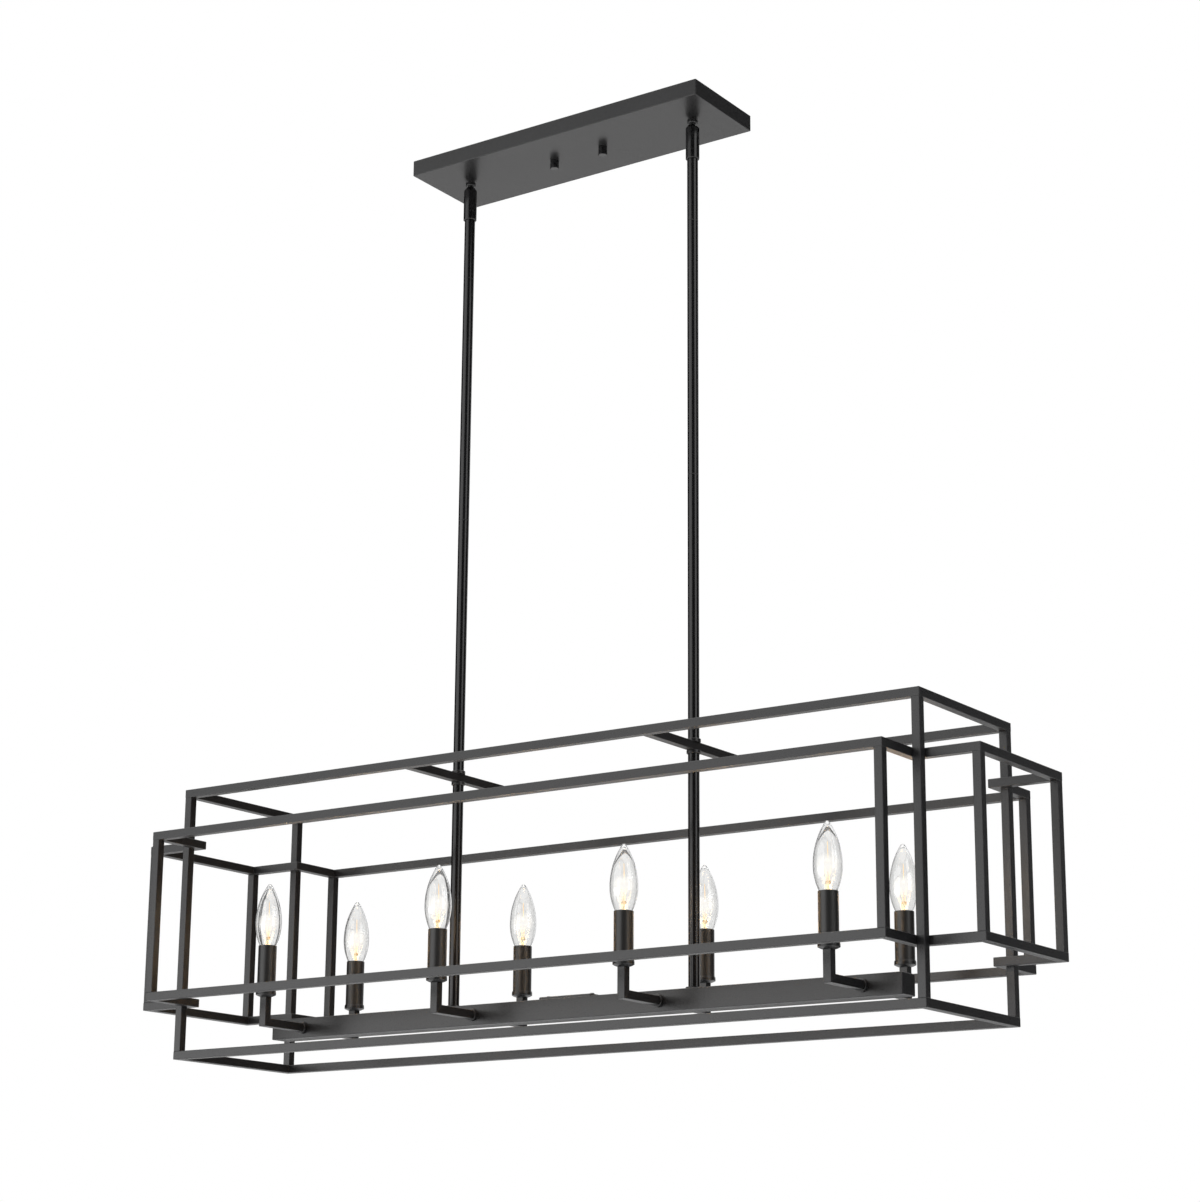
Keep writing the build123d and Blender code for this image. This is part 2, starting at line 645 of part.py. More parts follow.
# turned collar: thread into the channel, round head against it, plug into the arm
arm_collars = []
arm_nuts = []
for x, y in LAMP_POINTS:
    out = math.copysign(1, y)
    seat = Vector(x, out * CHANNEL_WIDTH / 2, channel_middle)
    outward = Plane(origin=seat - Vector(0, out * ARM_THREAD_LENGTH, 0), x_dir=(1, 0, 0), z_dir=(0, out, 0))
    steps = [(ARM_THREAD, ARM_THREAD_LENGTH), (ARM_COLLAR, ARM_COLLAR_LENGTH), (bar_plug, ARM_PLUG)]
    with BuildPart() as arm_collar:
        add(turned(outward, steps, WIRE_BORE))
        rim = arm_collar.edges().filter_by(GeomType.CIRCLE).sort_by(SortBy.RADIUS)[-2:]
        chamfer(rim.sort_by(Axis.Y)[-1 if out > 0 else 0], ARM_COLLAR_CHAMFER)
    arm_collars.append(arm_collar.part.solid())
    inside = Plane(
        origin=seat - Vector(0, out * (CHANNEL_WALL + ARM_NUT_THICKNESS), 0), x_dir=(1, 0, 0), z_dir=(0, out, 0)
    )
    arm_nuts.append(hex_nut(inside, ARM_NUT_ACROSS, ARM_NUT_THICKNESS, ARM_THREAD).solid())
save("arm_collars", Compound(arm_collars))
save("arm_lock_nuts", Compound(arm_nuts))

# ---------------------------------------------------------------- candle lamps

cup_seat_r = SLEEVE / 2 + SHEET_FIT
cup_rim_top = cup_rim_bottom + CUP_RIM
cup_top = cup_rim_top + CUP_CROWN
with BuildPart() as lamp_cup:
    with BuildSketch(Plane.XZ):
        with BuildLine():
            floor_line = Polyline(
                (bar_plug / 2 + HOLE_FIT, cup_floor), (bar_plug / 2 + HOLE_FIT, arm_top), (CUP_FOOT / 2, arm_top)
            )
            flare = RadiusArc(floor_line @ 1, (CUP_LIP / 2, cup_rim_bottom), -CUP_FLARE_RADIUS)
            rim_line = Line(flare @ 1, (CUP_LIP / 2, cup_rim_top))
            crown = TangentArc(rim_line @ 1, (cup_seat_r + CUP_TOP_WALL, cup_top), tangent=(0, 1))
            Polyline(crown @ 1, (cup_seat_r, cup_top), (cup_seat_r, cup_floor), floor_line @ 0)
        make_face()
    revolve(axis=Axis.Z)
save("lamp_cups", repeated(lamp_cup.part, LAMP_POINTS))

with BuildPart() as candle_sleeve:
    with BuildSketch(Plane.XY.offset(cup_floor)):
        Circle(SLEEVE / 2)
    extrude(amount=SLEEVE_LENGTH)
    chamfer(candle_sleeve.faces().sort_by(Axis.Z)[-1].edges(), SLEEVE_EDGE)
    with BuildSketch(Plane.XY.offset(cup_floor)):
        Circle(SLEEVE / 2 - SLEEVE_WALL)
    extrude(amount=SLEEVE_LENGTH, mode=Mode.SUBTRACT)
save("candle_sleeves", repeated(candle_sleeve.part, LAMP_POINTS))

# stem: plug in the arm, flange that clamps the cup, thread for the socket
stem_thread_top = socket_bottom + SOCKET_THREAD_DEPTH - SOCKET_THREAD_SPARE
socket_stem = turned(
    Plane.XY.offset(arm_top - ARM_PLUG),
    [
        (bar_plug, ARM_PLUG + cup_floor - arm_top),
        (SOCKET_FLANGE, SOCKET_FLANGE_THICKNESS),
        (SOCKET_STEM_THREAD, stem_thread_top - cup_floor - SOCKET_FLANGE_THICKNESS),
    ],
    WIRE_BORE,
)
save("socket_stems", repeated(socket_stem, LAMP_POINTS))

with BuildPart() as lamp_socket:
    with BuildSketch(Plane.XY.offset(socket_bottom)):
        Circle(SOCKET / 2)
    extrude(amount=SOCKET_LENGTH)
    with BuildSketch(Plane.XY.offset(socket_bottom)):
        Circle(SOCKET_STEM_THREAD / 2 + THREAD_FIT)
    extrude(amount=SOCKET_THREAD_DEPTH, mode=Mode.SUBTRACT)
    with BuildSketch(Plane.XY.offset(bulb_contact)):
        Circle(BULB_BASE / 2 + HOLE_FIT)
    extrude(amount=SOCKET_DEPTH, mode=Mode.SUBTRACT)
save("lamp_sockets", repeated(lamp_socket.part, LAMP_POINTS))

# screw base: contact, cone, shell and the seat of the glass
shell_bottom = bulb_contact + BULB_CONTACT_HEIGHT + BULB_INSULATOR_HEIGHT
with BuildPart() as bulb_base:
    with BuildSketch(Plane.XZ):
        with BuildLine():
            Polyline(
                (0, bulb_contact),
                (BULB_CONTACT / 2, bulb_contact),
                (BULB_CONTACT / 2, bulb_contact + BULB_CONTACT_HEIGHT),
                (BULB_BASE / 2, shell_bottom),
                (BULB_BASE / 2, bulb_base_top),
                (BULB_NECK / 2, bulb_base_top),
                (BULB_NECK / 2, bulb_seat),
                (0, bulb_seat),
                close=True,
            )
        make_face()
    revolve(axis=Axis.Z)
save("bulb_bases", repeated(bulb_base.part, LAMP_POINTS))


# the taper's arc meets the small round tip where both have the same slope
bulb_r = BULB / 2
taper_rise = BULB_WIDEST - BULB_TIP
taper_r = (bulb_r**2 + taper_rise**2 - BULB_TIP**2) / (2 * (bulb_r - BULB_TIP))
tip_lean = Vector(taper_r - bulb_r, taper_rise).normalized()


def bulb_outline(inset):
    """Half outline of the torpedo glass, drawn in by inset, from its neck up to the tip."""
    neck_r = BULB_NECK / 2 - inset
    widest = (bulb_r - inset, bulb_tip - BULB_WIDEST)
    tip_start = Vector(0, bulb_tip - BULB_TIP) + tip_lean * (BULB_TIP - inset)
    with BuildLine() as outline:
        neck = Line((0, bulb_seat), (neck_r, bulb_seat))
        shank = Line(neck @ 1, (neck_r, bulb_base_top))
        shoulder = TangentArc(widest, shank @ 1, tangent=(0, -1))
        taper = TangentArc(shoulder @ 0, tip_start, tangent=(0, 1))
        tip = TangentArc(taper @ 1, (0, bulb_tip - inset), tangent=taper % 1)
        Line(tip @ 1, neck @ 0)
    return outline.line


# the glass stays solid in the tip, where it was sealed
with BuildPart() as bulb_inside:
    with BuildSketch(Plane.XZ):
        add(bulb_outline(BULB_GLASS_WALL))
        make_face()
    revolve(axis=Axis.Z)
    split(bisect_by=Plane.XY.offset(bulb_tip - BULB_SEAL), keep=Keep.BOTTOM)
with BuildPart() as bulb_envelope:
    with BuildSketch(Plane.XZ):
        add(bulb_outline(0))
        make_face()
    revolve(axis=Axis.Z)
    add(bulb_inside.part, mode=Mode.SUBTRACT)
save("bulb_glass", repeated(bulb_envelope.part, LAMP_POINTS))

# glass stem inside the bulb: a flare that closes the neck, and a waisted tube up to the press
stem_head = bulb_seat + BULB_STEM_LENGTH
flare_r = BULB_NECK / 2 - BULB_GLASS_WALL
with BuildPart() as bulb_stem:
    with BuildSketch(Plane.XZ):
        with BuildLine():
            foot_line = Polyline((0, stem_head), (0, bulb_seat), (flare_r, bulb_seat))
            flare_edge = Line(foot_line @ 1, (flare_r, bulb_seat + BULB_STEM_SKIRT))
            waist = Line((BULB_STEM / 2, bulb_seat + BULB_STEM), (BULB_STEM / 2, stem_head))
            Line(flare_edge @ 1, waist @ 0)
            Line(waist @ 1, foot_line @ 0)
        make_face()
    revolve(axis=Axis.Z)
save("bulb_stems", repeated(bulb_stem.part, LAMP_POINTS))

# lead wires and filament, one bent wire that stands on the press
with BuildPart() as bulb_filament:
    with BuildLine() as wire:
        Polyline(
            (-LEAD_SPACING / 2, 0, stem_head),
            (-LEAD_SPACING / 2, 0, stem_head + FILAMENT_LEAD),
            (-FILAMENT_WIDTH / 2, 0, stem_head + FILAMENT_KNEE),
            (0, 0, stem_head + FILAMENT_HEIGHT),
            (FILAMENT_WIDTH / 2, 0, stem_head + FILAMENT_KNEE),
            (LEAD_SPACING / 2, 0, stem_head + FILAMENT_LEAD),
            (LEAD_SPACING / 2, 0, stem_head),
        )
    with BuildSketch(Plane(origin=wire.line @ 0, z_dir=wire.line % 0)):
        RegularPolygon(FILAMENT_WIRE / 2, 6)
    sweep(path=wire.line, transition=Transition.RIGHT)
save("bulb_filaments", repeated(bulb_filament.part, LAMP_POINTS))
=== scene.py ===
"""Looks of the linear island pendant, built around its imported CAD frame. Lengths are in metres."""

import math

import bmesh
import bpy
from mathutils import Matrix, Vector


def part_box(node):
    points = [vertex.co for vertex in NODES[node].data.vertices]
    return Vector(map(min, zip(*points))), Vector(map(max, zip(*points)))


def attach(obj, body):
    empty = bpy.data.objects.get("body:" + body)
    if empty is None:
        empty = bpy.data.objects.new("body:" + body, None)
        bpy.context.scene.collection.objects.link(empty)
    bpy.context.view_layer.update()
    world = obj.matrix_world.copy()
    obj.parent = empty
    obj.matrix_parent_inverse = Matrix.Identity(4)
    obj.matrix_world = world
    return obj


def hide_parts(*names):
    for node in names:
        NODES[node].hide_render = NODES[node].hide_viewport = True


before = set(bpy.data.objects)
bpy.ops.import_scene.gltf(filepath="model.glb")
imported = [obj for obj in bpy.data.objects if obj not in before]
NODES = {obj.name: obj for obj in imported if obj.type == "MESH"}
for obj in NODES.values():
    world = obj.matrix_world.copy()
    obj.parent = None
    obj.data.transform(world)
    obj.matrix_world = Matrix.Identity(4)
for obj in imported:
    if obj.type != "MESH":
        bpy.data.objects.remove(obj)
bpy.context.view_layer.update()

# ---------------------------------------------------------------- sizes and places

# straight steps that make up each round form
ROUND_STEPS = 64
SHOULDER_STEPS = 20
TAPER_STEPS = 28
TIP_STEPS = 8
STEM_STEPS = 32
GLOW_STEPS = 48
GLOW_RISE_STEPS = 24
LEAD_SIDES = 8
COIL_SIDES = 5
COIL_STEPS = 10

# a point nearer to the axis than this lies on it
ON_AXIS = 1e-7

# softened corner that the coat gives each sheet and bar
ARRIS = 0.0007

# lamps, counted along each side of the wiring channel, and the square bar of their arms
LAMPS_A_SIDE = 4
BAR = 0.0095

# torpedo bulb
BULB_RADIUS = 0.0151
BULB_WIDEST_BELOW_TIP = 0.0458
BULB_TIP_RADIUS = 0.0026
BULB_NECK_RADIUS = 0.0055
GLASS_WALL = 0.0006
TIP_WALL = 0.0012
SEALED_TIP = 0.0038

# glass stem inside the bulb: a flare on the seat, a tube, and a flattened press under its head
STEM_RADIUS = 0.0025
STEM_LENGTH = 0.021
FLARE_RIM = 0.0010
FLARE_WAIST_RADIUS = 0.0034
FLARE_WAIST = 0.0030
FLARE_TOP = 0.0060
TUBE_MIDDLE = 0.0120
TUBE_MIDDLE_SHARE = 0.9
PRESS_DEPTH = 0.0040
HEAD_DEPTH = 0.0008
HEAD_SHARE = 0.7
PRESS_START = 0.0080
PRESS_RUN = 0.0060
PRESS_WIDENS = 0.32
PRESS_THINS = 0.50

# lead wires and coiled filament, with heights above the stem's head
LEAD_RADIUS = 0.00025
LEAD_HALF_SPACING = 0.0015
LEAD_SUNK = 0.0030
LEAD_BEND = 0.0030
SUPPORT_RISE = 0.0400
FILAMENT_KNEE = 0.0136
FILAMENT_RISE = 0.0220
FILAMENT_HALF_WIDTH = 0.0034
COIL_RADIUS = 0.00034
COIL_WIRE = 0.00008
COIL_PITCH = 0.0005

# light round the filament
GLOW_RADIUS = 0.0130
GLOW_HALF_HEIGHT = 0.0130
GLOW_ABOVE_WIDEST = 0.0010
GLOW_SHELLS = (1.0, 0.72, 0.45)
GLOW_FALL = 2.6
GLOW_LEVEL = 1.15
LAMP_WATTS = 0.28
LAMP_COLOUR = (1.0, 0.61, 0.28)
LAMP_RADIUS = 0.010

# camera, from the fit of the frame's corners to the photograph
CAMERA_PLACE = Vector((1.743304, -2.459861, -1.385966))
CAMERA_FORWARD = Vector((-0.55043, 0.79289, 0.26145))
CAMERA_RIGHT = Vector((0.82252, 0.56870, 0.00696))
CAMERA_REACH = 50.0
LENS_MM = 82.30
SENSOR_MM = 36.0

FLOOR_HEIGHT = -2.70
FLOOR_HALF = 7.0

# light from all round, as (sine of the elevation, level)
WORLD_BANDS = ((-0.30, 0.40), (-0.16, 0.02), (0.50, 0.02), (0.76, 2.15))

# softboxes, as (name, azimuth from +X towards +Y in degrees, height, distance, width, own height, watts)
SOFTBOXES = (
    ("key_front", -115.0, 0.0, 3.2, 4.0, 2.8, 58.0),
    ("key_low", -118.0, -1.15, 3.2, 4.0, 1.0, 25.0),
    ("side_right", -6.0, 0.2, 3.0, 1.8, 2.4, 24.0),
    ("back_right", 88.0, 1.2, 9.0, 6.0, 5.0, 62.0),
)
SOFTBOX_AIM = Vector((0.0, 0.0, -0.7))

# ---------------------------------------------------------------- grain of the materials

# each scale counts a noise's waves in a metre; each depth is the height of its bumps
COAT_DRIFT = 9.0
COAT_GRAIN = 1600.0
COAT_GRAIN_DEPTH = 0.000006
COAT_PEEL = 520.0
COAT_PEEL_DEPTH = 0.000012
COAT_GLOSS_DRIFT = 0.05
PLATE_BLOOM = 160.0
PLATE_LINES = 2500.0
PLATE_LINES_DEPTH = 0.000006
PHENOLIC_DRIFT = 60.0
PHENOLIC_GRAIN = 2200.0
PHENOLIC_GRAIN_DEPTH = 0.00001
COIL_HEAT = 1800.0
LEAD_GLOW_PATCHES = 900.0
GLOW_MOTTLE = 240.0
FLOOR_DRIFT = 3.0

# streaks round a bulb, and how far they shift its painted dark rim tint
GLASS_STREAKS = 26.0
GLASS_STREAK_TINT = 0.10
BULB_RIPPLE_DEPTH = 0.000006
STEM_RIPPLE_DEPTH = 0.00001

# positions of the darker and the lighter tone on every two-tone ramp
DARK_STOP = 0.3
LIGHT_STOP = 0.7


# ---------------------------------------------------------------- materials


def fill_ramp(ramp, stops):
    """Sets the stops of a colour ramp; each is (position, (r, g, b))."""
    elements = ramp.color_ramp.elements
    while len(elements) < len(stops):
        elements.new(0.5)
    for element, (position, colour) in zip(elements, stops):
        element.position = position
        element.color = (*colour, 1.0)


class Look:
    """A procedural material: nodes are added by name and wired by socket name."""

    def __init__(self, name):
        self.material = bpy.data.materials.new(name)
        self.material.use_nodes = True
        self.tree = self.material.node_tree
        self.tree.nodes.clear()
        self.output = self.node("ShaderNodeOutputMaterial")
        self.place = self.node("ShaderNodeTexCoord").outputs["Object"]

    def node(self, kind, **values):
        made = self.tree.nodes.new(kind)
        for key, value in values.items():
            setattr(made, key, value)
        return made

    def wire(self, source, node, socket):
        self.tree.links.new(source, node.inputs[socket])

    def stretched(self, scale):
        """The object's own coordinates, scaled by axis."""
        mapping = self.node("ShaderNodeMapping")
        mapping.inputs["Scale"].default_value = scale
        self.wire(self.place, mapping, "Vector")
        return mapping.outputs["Vector"]

    def noise(self, scale, detail=2.0, vector=None):
        texture = self.node("ShaderNodeTexNoise")
        texture.inputs["Scale"].default_value = scale
        texture.inputs["Detail"].default_value = detail
        self.wire(vector or self.place, texture, "Vector")
        return texture.outputs["Fac"]

    def meridians(self, count):
        """Noise that changes only with the angle round Z, so its lines run from foot to tip."""
        angle = self.node("ShaderNodeTexGradient", gradient_type="RADIAL")
        self.wire(self.place, angle, "Vector")
        texture = self.node("ShaderNodeTexNoise", noise_dimensions="1D")
        texture.inputs["Scale"].default_value = count
        texture.inputs["Detail"].default_value = 1.0
        self.wire(angle.outputs["Fac"], texture, "W")
        return texture.outputs["Fac"]

    def ramp(self, factor, *stops):
        """Colours along factor; each stop is (position, (r, g, b))."""
        ramp = self.node("ShaderNodeValToRGB")
        fill_ramp(ramp, stops)
        self.wire(factor, ramp, "Fac")
        return ramp.outputs["Color"]

    def two_tone(self, factor, dark, light):
        """Colours from dark to light along factor."""
        return self.ramp(factor, (DARK_STOP, dark), (LIGHT_STOP, light))

    def span(self, factor, low, high, start=DARK_STOP, end=LIGHT_STOP):
        """factor from start to end, spread from low to high."""
        node = self.node("ShaderNodeMapRange")
        node.inputs["From Min"].default_value = start
        node.inputs["From Max"].default_value = end
        node.inputs["To Min"].default_value = low
        node.inputs["To Max"].default_value = high
        self.wire(factor, node, "Value")
        return node.outputs["Result"]

    def rounded(self, radius):
        """Normals that turn smoothly round each corner."""
        node = self.node("ShaderNodeBevel", samples=6)
        node.inputs["Radius"].default_value = radius
        return node.outputs["Normal"]

    def bump(self, height, distance, strength=1.0, normal=None):
        node = self.node("ShaderNodeBump")
        node.inputs["Strength"].default_value = strength
        node.inputs["Distance"].default_value = distance
        self.wire(height, node, "Height")
        if normal is not None:
            self.wire(normal, node, "Normal")
        return node.outputs["Normal"]

    def principled(self, colour=None, roughness=None, normal=None, **settings):
        """The main shader; settings are its own sockets' values, with spaces for underscores."""
        shader = self.node("ShaderNodeBsdfPrincipled")
        for key, value in settings.items():
            shader.inputs[key.replace("_", " ")].default_value = value
        for source, socket in ((colour, "Base Color"), (roughness, "Roughness"), (normal, "Normal")):
            if source is not None:
                self.wire(source, shader, socket)
        self.wire(shader.outputs["BSDF"], self.output, "Surface")
        return shader


def powder_coat(name, dark, light, roughness, shine=0.5):
    """Satin powder coat: faint orange peel, slight drift of tone and gloss."""
    look = Look(name)
    drift = look.noise(COAT_DRIFT, detail=3.0)
    grain = look.noise(COAT_GRAIN)
    peel = look.noise(COAT_PEEL, detail=1.0)
    colour = look.two_tone(drift, dark, light)
    gloss = look.span(grain, roughness - COAT_GLOSS_DRIFT, roughness + COAT_GLOSS_DRIFT)
    peeled = look.bump(peel, COAT_PEEL_DEPTH, 0.4, look.rounded(ARRIS))
    grained = look.bump(grain, COAT_GRAIN_DEPTH, 0.35, peeled)
    look.principled(colour, gloss, grained, Specular_IOR_Level=shine)
    return look.material


def plated(name, dark, light, roughness):
    """Bright plating over steel, with fine drawn lines and a slight bloom."""
    look = Look(name)
    bloom = look.noise(PLATE_BLOOM, detail=4.0)
    lines = look.noise(PLATE_LINES, detail=1.0, vector=look.stretched((1.0, 1.0, 0.08)))
    colour = look.two_tone(bloom, dark, light)
    gloss = look.span(bloom, roughness - 0.06, roughness + 0.08)
    look.principled(colour, gloss, look.bump(lines, PLATE_LINES_DEPTH, 0.5), Metallic=1.0)
    return look.material


def phenolic():
    """Moulded black plastic with a fine matt grain."""
    look = Look("moulded_black")
    grain = look.noise(PHENOLIC_GRAIN, detail=3.0)
    colour = look.two_tone(look.noise(PHENOLIC_DRIFT), (0.012, 0.012, 0.013), (0.022, 0.021, 0.021))
    look.principled(colour, look.span(grain, 0.42, 0.58), look.bump(grain, PHENOLIC_GRAIN_DEPTH, 0.5))
    return look.material


def clear_glass(name, ripple, *painted_rim_tints):
    """Clear glass with drawn upright ripples; tints run from square on to edge on, darker edge on as a painted
    dark rim in place of reflected shade.
    """
    look = Look(name)
    facing = look.node("ShaderNodeLayerWeight")
    facing.inputs["Blend"].default_value = 0.35
    waves = look.meridians(GLASS_STREAKS)
    streaked = look.node("ShaderNodeMath", operation="ADD")
    look.wire(facing.outputs["Facing"], streaked, 0)
    look.wire(look.span(waves, -GLASS_STREAK_TINT, GLASS_STREAK_TINT), streaked, 1)
    # painted shade: the colour darkens edge on, a painted dark rim
    painted_rim_tint = look.ramp(streaked.outputs["Value"], *painted_rim_tints)
    normal = look.bump(waves, ripple)
    look.principled(painted_rim_tint, None, normal, Transmission_Weight=1.0, IOR=1.5, Roughness=0.0)
    return look.material


def lit_tungsten():
    """Glowing tungsten, hotter in patches."""
    look = Look("lit_tungsten")
    glow_patches = look.noise(COIL_HEAT, detail=1.0)
    colour = look.two_tone(glow_patches, (1.0, 0.60, 0.25), (1.0, 0.82, 0.52))
    shader = look.principled(colour, look.span(glow_patches, 0.3, 0.5), None, Emission_Strength=60.0)
    look.wire(colour, shader, "Emission Color")
    return look.material


def painted_glow_wire():
    """Nickel lead wire with the filament's light painted on: a gold colour and a faint glow, warmer in patches.
    """
    look = Look("painted_glow_wire")
    glow_patches = look.noise(LEAD_GLOW_PATCHES, detail=1.0)
    colour = look.two_tone(glow_patches, (0.85, 0.45, 0.12), (1.0, 0.72, 0.32))
    # the faint emission is painted filament light; the wire is no lamp
    shader = look.principled(colour, look.span(glow_patches, 0.2, 0.4), None, Metallic=1.0, Emission_Strength=0.9)
    look.wire(colour, shader, "Emission Color")
    return look.material


def glow():
    """Soft light round the filament, brightest where it is seen square on."""
    look = Look("filament_glow")
    facing = look.node("ShaderNodeLayerWeight")
    facing.inputs["Blend"].default_value = 0.5
    fade = look.span(facing.outputs["Facing"], 1.0, 0.0, 0.0, 0.9)
    soft = look.node("ShaderNodeMath", operation="POWER")
    soft.inputs[1].default_value = GLOW_FALL
    look.wire(fade, soft, 0)
    emission = look.node("ShaderNodeEmission")
    emission.inputs["Strength"].default_value = GLOW_LEVEL
    colour = look.two_tone(look.noise(GLOW_MOTTLE), (1.0, 0.96, 0.90), (1.0, 0.99, 0.96))
    look.wire(colour, emission, "Color")
    clear = look.node("ShaderNodeBsdfTransparent")
    mix = look.node("ShaderNodeMixShader")
    look.wire(soft.outputs["Value"], mix, 0)
    look.wire(clear.outputs["BSDF"], mix, 1)
    look.wire(emission.outputs["Emission"], mix, 2)
    look.wire(mix.outputs["Shader"], look.output, "Surface")
    return look.material


LOOKS = {
    "black_steel": powder_coat("powder_black", (0.006, 0.006, 0.0065), (0.009, 0.009, 0.0095), 0.31),
    "black_sleeve": powder_coat("sleeve_black", (0.007, 0.0067, 0.0064), (0.010, 0.0097, 0.0094), 0.38),
    "zinc_steel": plated("zinc_plate", (0.52, 0.53, 0.54), (0.66, 0.67, 0.68), 0.32),
    "green_steel": powder_coat("green_lacquer", (0.02, 0.20, 0.06), (0.03, 0.28, 0.09), 0.30),
    "black_phenolic": phenolic(),
    "brass": plated("brass_plate", (0.62, 0.44, 0.16), (0.78, 0.58, 0.26), 0.26),
    "clear_glass": clear_glass(
        "bulb_clear_glass",
        BULB_RIPPLE_DEPTH,
        # pale square on, near black edge on: a painted dark rim in place of reflected shade
        (0.0, (0.89, 0.89, 0.885)),
        (0.34, (0.84, 0.84, 0.835)),
        (0.52, (0.70, 0.70, 0.70)),
        (0.64, (0.32, 0.32, 0.32)),
        (0.80, (0.04, 0.04, 0.04)),
    ),
    # the stem's gold is painted warm light of the filament, and it darkens edge on as a painted dark rim
    "stem_glass": clear_glass(
        "bulb_stem_glass",
        STEM_RIPPLE_DEPTH,
        (0.0, (0.98, 0.86, 0.62)),
        (0.6, (0.90, 0.70, 0.40)),
        (1.0, (0.50, 0.32, 0.14)),
    ),
    "filament": lit_tungsten(),
}
# the round tubes' black steel, glossier and with about half the base colour: the darker tone is painted shade
SHADED_TUBE_COAT = powder_coat("tube_black_painted_shade", (0.003, 0.003, 0.0033), (0.005, 0.005, 0.0055), 0.19)
GLOW = glow()
PAINTED_GLOW_WIRE = painted_glow_wire()

# words in the names of the nodes with the glossier coat and its painted shade
SHADED_GLOSSY_NODES = ("rod_left", "rod_right", "drop_tube", "swivel_body", "swivel_couplings", "canopy_cap_nuts")


def dress_cad_nodes():
    """Gives every CAD node the look of its own slot, and the round tubes a glossier coat with a darker base
    colour that is painted shade.
    """
    for name, node in NODES.items():
        shaded_glossy = any(part in name for part in SHADED_GLOSSY_NODES)
        for place in node.material_slots:
            slot = place.material.name.split(".")[0]
            place.material = SHADED_TUBE_COAT if shaded_glossy and slot == "black_steel" else LOOKS[slot]


# ---------------------------------------------------------------- mesh helpers


def arc(centre, radius, start, end, steps):
    """Points (r, z) on a circle, from angle start to end in degrees."""
    points = []
    for step in range(steps + 1):
        angle = math.radians(start + (end - start) * step / steps)
        points.append((centre[0] + radius * math.cos(angle), centre[1] + radius * math.sin(angle)))
    return points


def finished(name, mesh, look):
    """The smooth-shaded mesh data of a bmesh, with one look."""
    data = bpy.data.meshes.new(name)
    bmesh.ops.recalc_face_normals(mesh, faces=mesh.faces)
    mesh.to_mesh(data)
    mesh.free()
    data.materials.append(look)
    data.shade_smooth()
    return data


def add_turned(mesh, profile, steps):
    """Adds a closed surface of revolution about Z; profile is a closed chain of (r, z) points."""
    rings = []
    for radius, height in profile:
        if radius < ON_AXIS:
            rings.append([mesh.verts.new((0.0, 0.0, height))])
            continue
        ring = []
        for step in range(steps):
            angle = math.tau * step / steps
            ring.append(mesh.verts.new((radius * math.cos(angle), radius * math.sin(angle), height)))
        rings.append(ring)
    for lower, upper in zip(rings, rings[1:] + rings[:1]):
        if len(lower) == 1 and len(upper) == 1:
            continue
        for step in range(steps):
            after = (step + 1) % steps
            corners = [lower[step % len(lower)], lower[after % len(lower)]]
            corners += [upper[after % len(upper)], upper[step % len(upper)]]
            mesh.faces.new(list(dict.fromkeys(corners)))


def turned(name, profile, look, steps):
    """The mesh of one turned solid."""
    mesh = bmesh.new()
    add_turned(mesh, profile, steps)
    return finished(name, mesh, look)


def wires(name, runs, radius, look, sides):
    """Round wire along each run of points, capped at its ends."""
    mesh = bmesh.new()
    for run in runs:
        rings = []
        side = Vector((0.0, 1.0, 0.0))
        for index, point in enumerate(run):
            before = run[max(index - 1, 0)]
            after = run[min(index + 1, len(run) - 1)]
            along = (after - before).normalized()
            side = (side - along * side.dot(along)).normalized()
            other = along.cross(side)
            ring = []
            for step in range(sides):
                angle = math.tau * step / sides
                outward = math.cos(angle) * side + math.sin(angle) * other
                ring.append(mesh.verts.new(point + radius * outward))
            rings.append(ring)
        for lower, upper in zip(rings, rings[1:]):
            for step in range(sides):
                after = (step + 1) % sides
                mesh.faces.new((lower[step], lower[after], upper[after], upper[step]))
        mesh.faces.new(rings[0])
        mesh.faces.new(rings[-1])
    return finished(name, mesh, look)


def placed(name, data, place=(0.0, 0.0, 0.0)):
    """A new object in the scene."""
    made = bpy.data.objects.new(name, data)
    bpy.context.scene.collection.objects.link(made)
    made.location = place
    return made


# ---------------------------------------------------------------- bulbs

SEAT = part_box("bulb_glass")[0].z
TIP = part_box("bulb_glass")[1].z
BASE_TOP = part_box("bulb_bases")[1].z
STEM_HEAD = SEAT + STEM_LENGTH
WIDEST = TIP - BULB_WIDEST_BELOW_TIP


def bulb_half(inset):
    """Half outline of the torpedo glass from its neck to its tip, drawn in by inset."""
    neck = BULB_NECK_RADIUS - inset
    side = BULB_RADIUS - inset
    drop = WIDEST - BASE_TOP
    swell = side - neck
    shoulder_r = (swell**2 + drop**2) / (2 * swell)
    shoulder_turn = math.degrees(math.asin(drop / shoulder_r))
    rise = TIP - BULB_TIP_RADIUS - WIDEST
    taper_r = (BULB_RADIUS**2 + rise**2 - BULB_TIP_RADIUS**2) / (2 * (BULB_RADIUS - BULB_TIP_RADIUS))
    taper_turn = math.degrees(math.atan2(rise, taper_r - BULB_RADIUS))
    points = [(neck, SEAT)]
    points += arc((side - shoulder_r, WIDEST), shoulder_r, -shoulder_turn, 0.0, SHOULDER_STEPS)
    points += arc((BULB_RADIUS - taper_r, WIDEST), taper_r - inset, 0.0, taper_turn, TAPER_STEPS)[1:]
    points += arc((0.0, TIP - BULB_TIP_RADIUS), BULB_TIP_RADIUS - inset, taper_turn, 90.0, TIP_STEPS)[1:]
    return points


